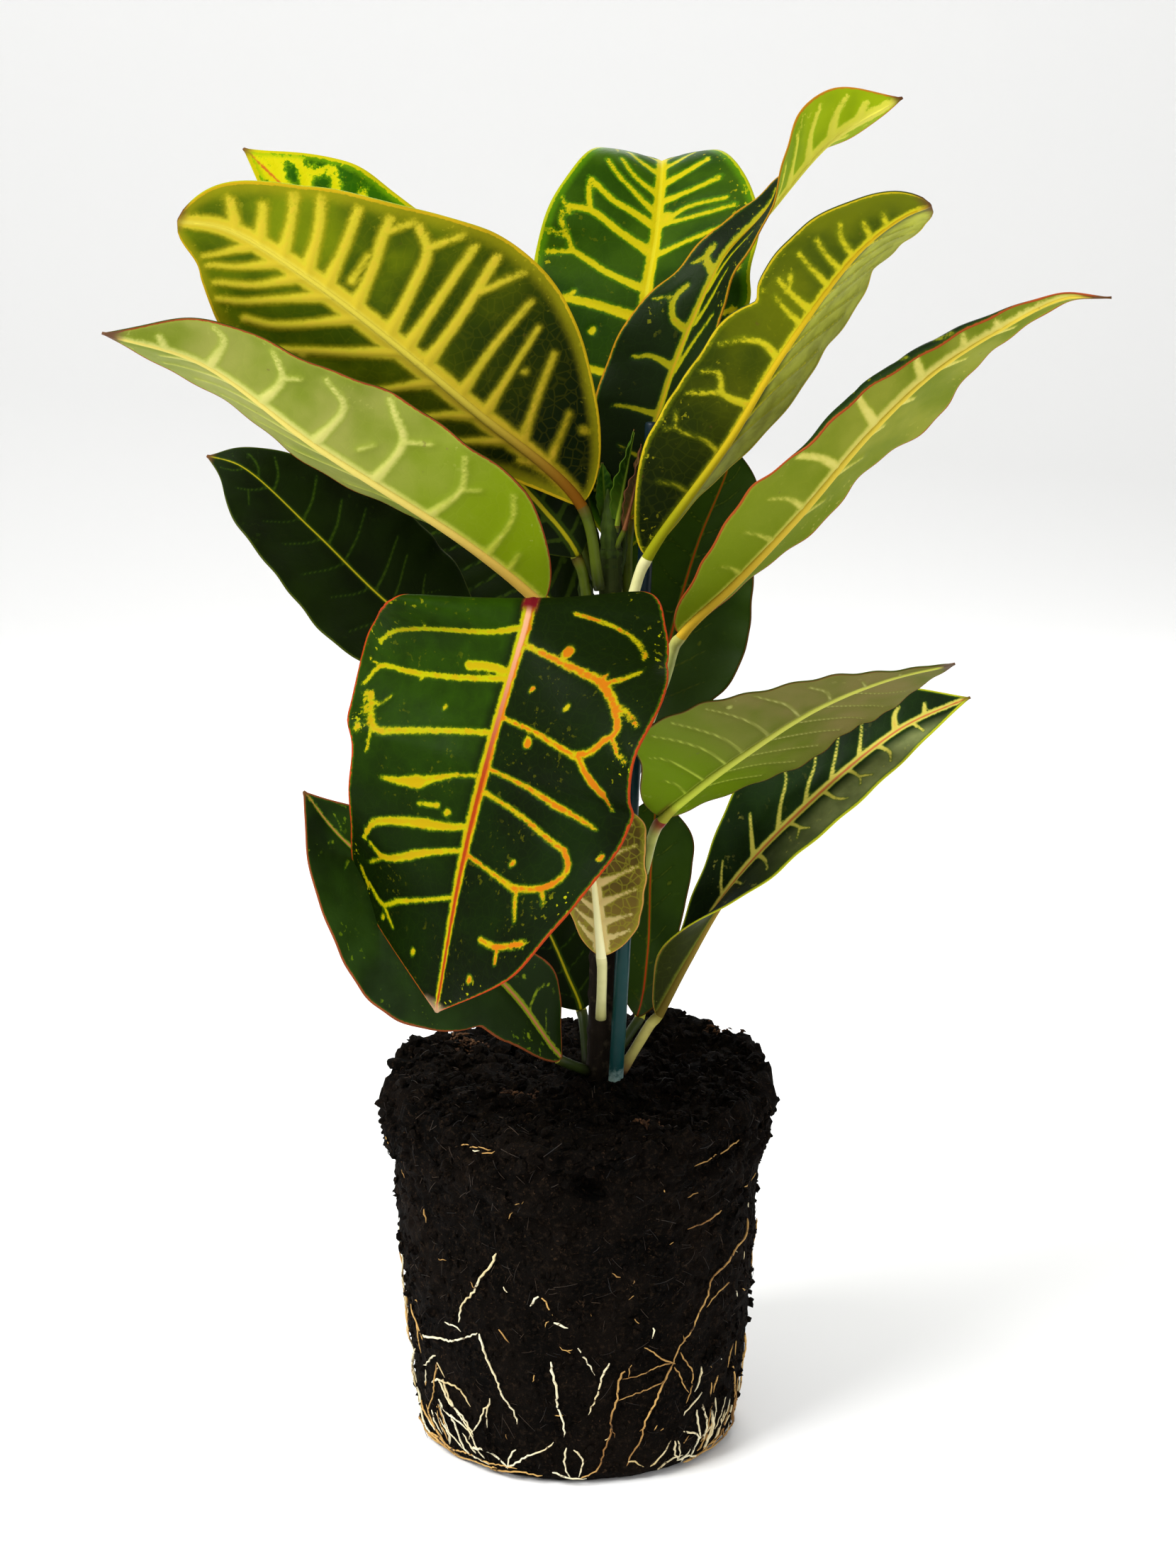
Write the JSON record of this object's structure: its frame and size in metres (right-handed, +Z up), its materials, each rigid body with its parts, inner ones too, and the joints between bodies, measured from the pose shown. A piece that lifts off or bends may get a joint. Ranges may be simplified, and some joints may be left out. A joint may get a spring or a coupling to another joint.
{
  "type": "croton plant with a bare root ball",
  "caption": "Croton lifted out of its pot: broad yellow-veined leaves round a woody stem held by a thin plastic cane, above a pot-shaped ball of dark peat with pale roots.",
  "frame": {"origin": "middle of the flat underside of the root ball", "axes": "+Z up along the plant; -Y is the side with the big hanging leaf; +X to the right of it"},
  "size_m": [0.2678, 0.1938, 0.3912],
  "materials": {
    "peat": "crumbly, dull",
    "root": "fibrous, dull",
    "bark": "rough bark",
    "cane": "smooth, half gloss",
    "leaf": "waxy, half gloss",
    "young_leaf": "waxy, half gloss"
  },
  "bodies": {
    "root": {"root_ball": "peat", "root_net": "root", "stem": "bark", "cane": "cane", "leaf_back_left": "leaf", "leaf_top_left": "leaf", "leaf_long_left": "leaf", "leaf_dark_left": "leaf", "leaf_back_low_left": "leaf", "leaf_upright": "leaf", "leaf_twisted": "leaf", "leaf_right": "leaf", "leaf_front": "leaf", "leaf_long_right": "leaf", "leaf_dark_right": "leaf", "leaf_low_right": "leaf", "leaf_right_lowest": "leaf", "leaf_dark_low": "leaf", "leaf_small_front": "leaf", "leaf_low_left": "leaf", "leaf_behind_low": "leaf", "leaf_under_left": "leaf", "leaf_back_middle": "leaf", "leaf_back_low": "leaf", "leaf_young_tall": "leaf", "leaf_young_left": "leaf", "leaf_young_red": "young_leaf"}
  },
  "joints": []
}
